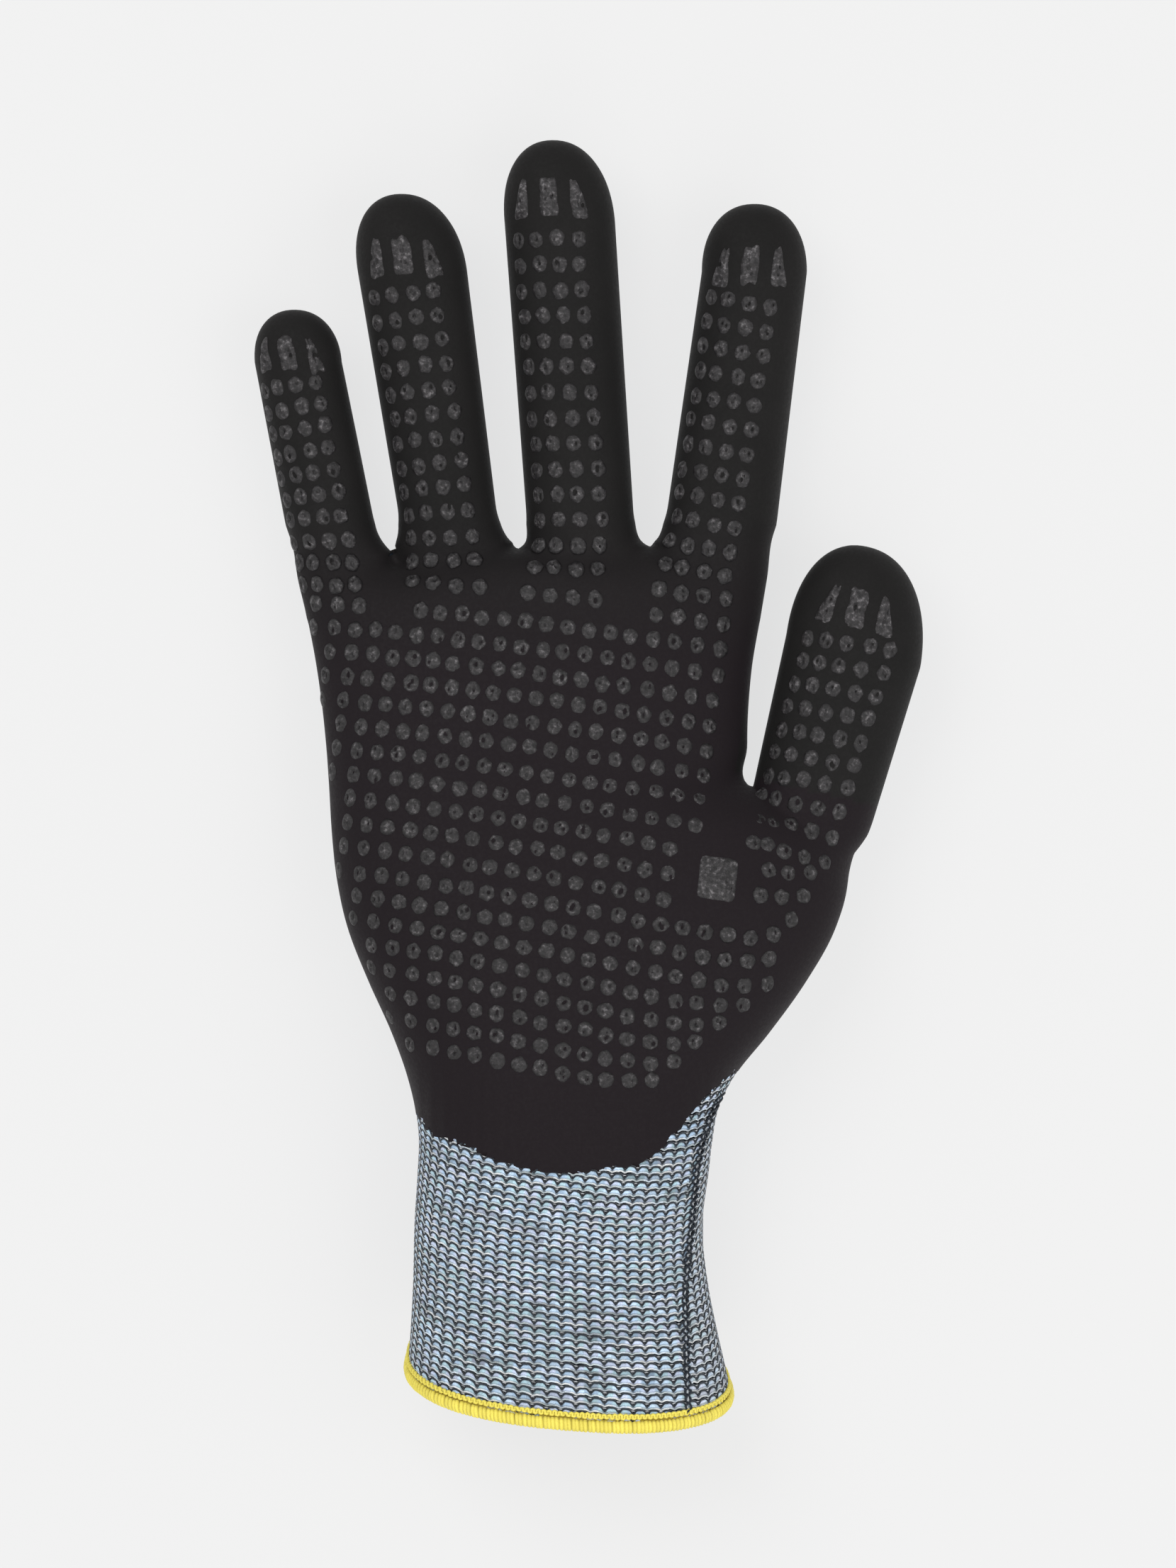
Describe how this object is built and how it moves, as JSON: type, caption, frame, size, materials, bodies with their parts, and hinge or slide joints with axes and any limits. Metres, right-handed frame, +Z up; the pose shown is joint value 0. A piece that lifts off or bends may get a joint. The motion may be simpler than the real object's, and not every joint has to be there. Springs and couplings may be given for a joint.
{
  "type": "cut resistant glove",
  "caption": "Seamless knitted work glove for the right hand, palm side dipped in black foam nitrile with raised grip dots, exposed marl knit cuff and an overlocked hem.",
  "frame": {"origin": "under the middle of the glove's outline, on the surface that the back of the hand lies on", "axes": "+Y along the fingers, +X towards the thumb, +Z up out of the palm"},
  "size_m": [0.1262, 0.2456, 0.0421],
  "materials": {
    "knit": "blue, grey and white marl knit of cut-resistant yarn, matt",
    "coating": "black foam nitrile, matt, with slightly glossier raised dots and bars",
    "coated_fold": "knit with its black coating, as one flexible layer",
    "overlock": "yellow overlock thread, matt",
    "elastic": "pale elastic yarn plated inside the cuff",
    "dark_yarn": "dark navy yarn",
    "crotch_pad": "dark grey nitrile, uneven, slightly glossy"
  },
  "bodies": {
    "palm": {"palm_liner": "knit", "palm_coating": "coating", "thumb_crotch_pad": "crotch_pad", "wrist_fold": "coated_fold", "little_mcp_fold": "coated_fold", "ring_mcp_fold": "coated_fold", "middle_mcp_fold": "coated_fold", "index_mcp_fold": "coated_fold", "thumb_base_fold": "coated_fold"},
    "cuff": {"cuff_knit": "knit", "cuff_elastic_layer": "elastic", "cuff_yarn_line": "dark_yarn", "overlock_hem": "overlock"},
    "little_proximal": {"little_proximal_liner": "knit", "little_proximal_coating": "coating", "little_pip_fold": "coated_fold"},
    "little_middle": {"little_middle_liner": "knit", "little_middle_coating": "coating", "little_dip_fold": "coated_fold"},
    "little_distal": {"little_distal_liner": "knit", "little_distal_coating": "coating"},
    "ring_proximal": {"ring_proximal_liner": "knit", "ring_proximal_coating": "coating", "ring_pip_fold": "coated_fold"},
    "ring_middle": {"ring_middle_liner": "knit", "ring_middle_coating": "coating", "ring_dip_fold": "coated_fold"},
    "ring_distal": {"ring_distal_liner": "knit", "ring_distal_coating": "coating"},
    "middle_proximal": {"middle_proximal_liner": "knit", "middle_proximal_coating": "coating", "middle_pip_fold": "coated_fold"},
    "middle_middle": {"middle_middle_liner": "knit", "middle_middle_coating": "coating", "middle_dip_fold": "coated_fold"},
    "middle_distal": {"middle_distal_liner": "knit", "middle_distal_coating": "coating"},
    "index_proximal": {"index_proximal_liner": "knit", "index_proximal_coating": "coating", "index_pip_fold": "coated_fold"},
    "index_middle": {"index_middle_liner": "knit", "index_middle_coating": "coating", "index_dip_fold": "coated_fold"},
    "index_distal": {"index_distal_liner": "knit", "index_distal_coating": "coating"},
    "thumb_proximal": {"thumb_proximal_liner": "knit", "thumb_proximal_coating": "coating", "thumb_tip_fold": "coated_fold"},
    "thumb_distal": {"thumb_distal_liner": "knit", "thumb_distal_coating": "coating"}
  },
  "joints": [
    {"name": "little_mcp", "type": "hinge", "parent": "palm", "child": "little_proximal", "pos_m": [-0.0484, 0.05, 0.0151], "axis": [1, 0, 0], "range_deg": [0, 80], "deforming": ["little_mcp_fold"]},
    {"name": "little_pip", "type": "hinge", "parent": "little_proximal", "child": "little_middle", "pos_m": [-0.05114, 0.063, 0.015], "axis": [1, 0, 0], "range_deg": [0, 90], "deforming": ["little_pip_fold"]},
    {"name": "little_dip", "type": "hinge", "parent": "little_middle", "child": "little_distal", "pos_m": [-0.05378, 0.0755, 0.0155], "axis": [1, 0, 0], "range_deg": [0, 45], "deforming": ["little_dip_fold"]},
    {"name": "ring_mcp", "type": "hinge", "parent": "palm", "child": "ring_proximal", "pos_m": [-0.02634, 0.053, 0.01656], "axis": [1, 0, 0], "range_deg": [0, 80], "deforming": ["ring_mcp_fold"]},
    {"name": "ring_pip", "type": "hinge", "parent": "ring_proximal", "child": "ring_middle", "pos_m": [-0.02938, 0.0735, 0.01679], "axis": [1, 0, 0], "range_deg": [0, 90], "deforming": ["ring_pip_fold"]},
    {"name": "ring_dip", "type": "hinge", "parent": "ring_middle", "child": "ring_distal", "pos_m": [-0.03215, 0.0922, 0.01778], "axis": [1, 0, 0], "range_deg": [0, 45], "deforming": ["ring_dip_fold"]},
    {"name": "middle_mcp", "type": "hinge", "parent": "palm", "child": "middle_proximal", "pos_m": [-0.00161, 0.053, 0.01697], "axis": [1, 0, 0], "range_deg": [0, 80], "deforming": ["middle_mcp_fold"]},
    {"name": "middle_pip", "type": "hinge", "parent": "middle_proximal", "child": "middle_middle", "pos_m": [-0.00337, 0.0785, 0.01731], "axis": [1, 0, 0], "range_deg": [0, 90], "deforming": ["middle_pip_fold"]},
    {"name": "middle_dip", "type": "hinge", "parent": "middle_middle", "child": "middle_distal", "pos_m": [-0.00492, 0.101, 0.01857], "axis": [1, 0, 0], "range_deg": [0, 45], "deforming": ["middle_dip_fold"]},
    {"name": "index_mcp", "type": "hinge", "parent": "palm", "child": "index_proximal", "pos_m": [0.025, 0.053, 0.01676], "axis": [1, 0, 0], "range_deg": [0, 80], "deforming": ["index_mcp_fold"]},
    {"name": "index_pip", "type": "hinge", "parent": "index_proximal", "child": "index_middle", "pos_m": [0.02764, 0.073, 0.01701], "axis": [1, 0, 0], "range_deg": [0, 90], "deforming": ["index_pip_fold"]},
    {"name": "index_dip", "type": "hinge", "parent": "index_middle", "child": "index_distal", "pos_m": [0.03008, 0.0915, 0.01804], "axis": [1, 0, 0], "range_deg": [0, 45], "deforming": ["index_dip_fold"]},
    {"name": "thumb_base", "type": "hinge", "parent": "palm", "child": "thumb_proximal", "pos_m": [0.04453, 0.00496, 0.02117], "axis": [0.9703, -0.2419, 0], "range_deg": [0, 50], "deforming": ["thumb_base_fold"]},
    {"name": "thumb_tip", "type": "hinge", "parent": "thumb_proximal", "child": "thumb_distal", "pos_m": [0.04845, 0.02068, 0.02145], "axis": [0.9703, -0.2419, 0], "range_deg": [0, 75], "deforming": ["thumb_tip_fold"]},
    {"name": "wrist", "type": "hinge", "parent": "palm", "child": "cuff", "pos_m": [-0.005, -0.064, 0.0205], "axis": [-1, 0, 0], "range_deg": [0, 40], "deforming": ["wrist_fold"]}
  ]
}
